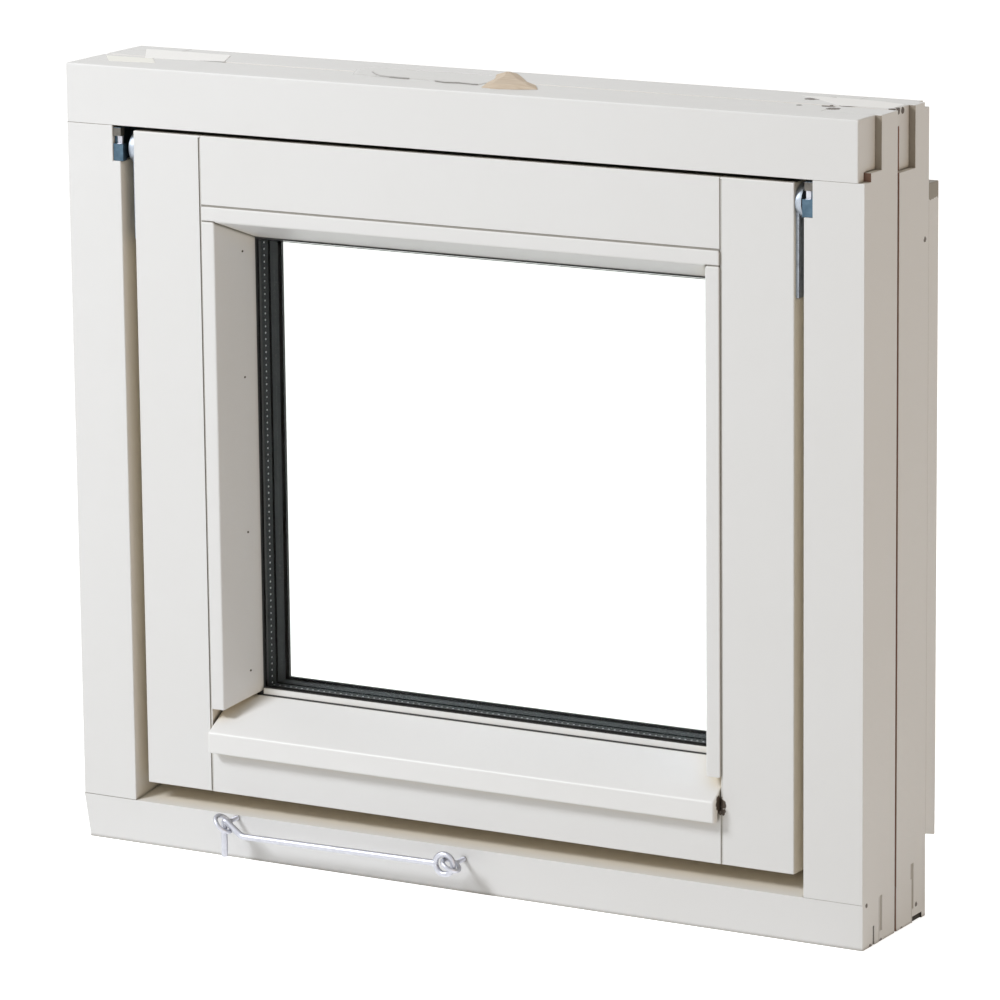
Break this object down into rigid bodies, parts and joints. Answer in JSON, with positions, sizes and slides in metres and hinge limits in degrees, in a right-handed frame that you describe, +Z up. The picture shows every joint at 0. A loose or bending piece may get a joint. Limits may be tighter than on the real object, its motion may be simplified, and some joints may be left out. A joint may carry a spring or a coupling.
{
  "type": "pivot window",
  "caption": "Small painted timber window: a two-part outer frame, an outward-opening sash with triple glazing, splayed beads and a drip sill, and a wire hook on the sill.",
  "frame": {"origin": "centre of the frame's bottom face, where the window stands", "axes": "+X to the right seen from outside, +Y from outside to inside, +Z up"},
  "size_m": [0.745, 0.1714, 0.67],
  "materials": {
    "frame_paint": "off-white satin paint on timber",
    "sash_paint": "off-white satin paint on timber",
    "batten_paint": "off-white paint on timber",
    "seal_rubber": "matt black rubber",
    "gasket_rubber": "matt black rubber",
    "clear_glass": "clear float glass",
    "spacer": "dark grey, perforated",
    "zinc_steel": "blue-white zinc plating",
    "hook_zinc": "bright zinc-plated wire",
    "handle_metal": "satin metal"
  },
  "bodies": {
    "window": {"head_front": "frame_paint", "head_back": "frame_paint", "sill_front": "frame_paint", "sill_back": "frame_paint", "jamb_front_right": "frame_paint", "jamb_front_left": "frame_paint", "jamb_back_right": "frame_paint", "jamb_back_left": "frame_paint", "sash_top_rail": "sash_paint", "sash_bottom_rail": "sash_paint", "sash_stile_right": "sash_paint", "sash_stile_left": "sash_paint", "drip_sill": "sash_paint", "glazing_bead_top": "sash_paint", "glazing_bead_right": "sash_paint", "glazing_bead_left": "sash_paint", "glazing_strip_bottom": "sash_paint", "batten_right": "batten_paint", "batten_left": "batten_paint", "frame_weatherstrip": "seal_rubber", "glazing_gasket_outer": "gasket_rubber", "glazing_gasket_inner": "gasket_rubber", "glass_outer_pane": "clear_glass", "glass_middle_pane": "clear_glass", "glass_inner_pane": "clear_glass", "glass_spacer_outer": "spacer", "glass_spacer_inner": "spacer", "hinge_bracket_right": "zinc_steel", "hinge_bracket_left": "zinc_steel", "hinge_track_right": "zinc_steel", "hinge_track_left": "zinc_steel", "hinge_plate_right": "zinc_steel", "hinge_plate_left": "zinc_steel", "screw_eye_right": "hook_zinc", "screw_eye_left": "hook_zinc", "handle_plate": "handle_metal", "handle_lever": "handle_metal"},
    "hook": {"hook": "hook_zinc"}
  },
  "joints": [
    {"name": "hook_swing", "type": "hinge", "parent": "window", "child": "hook", "pos_m": [-0.0015, -0.0795, 0.02835], "axis": [0, 1, 0], "range_deg": [0, 175]}
  ]
}
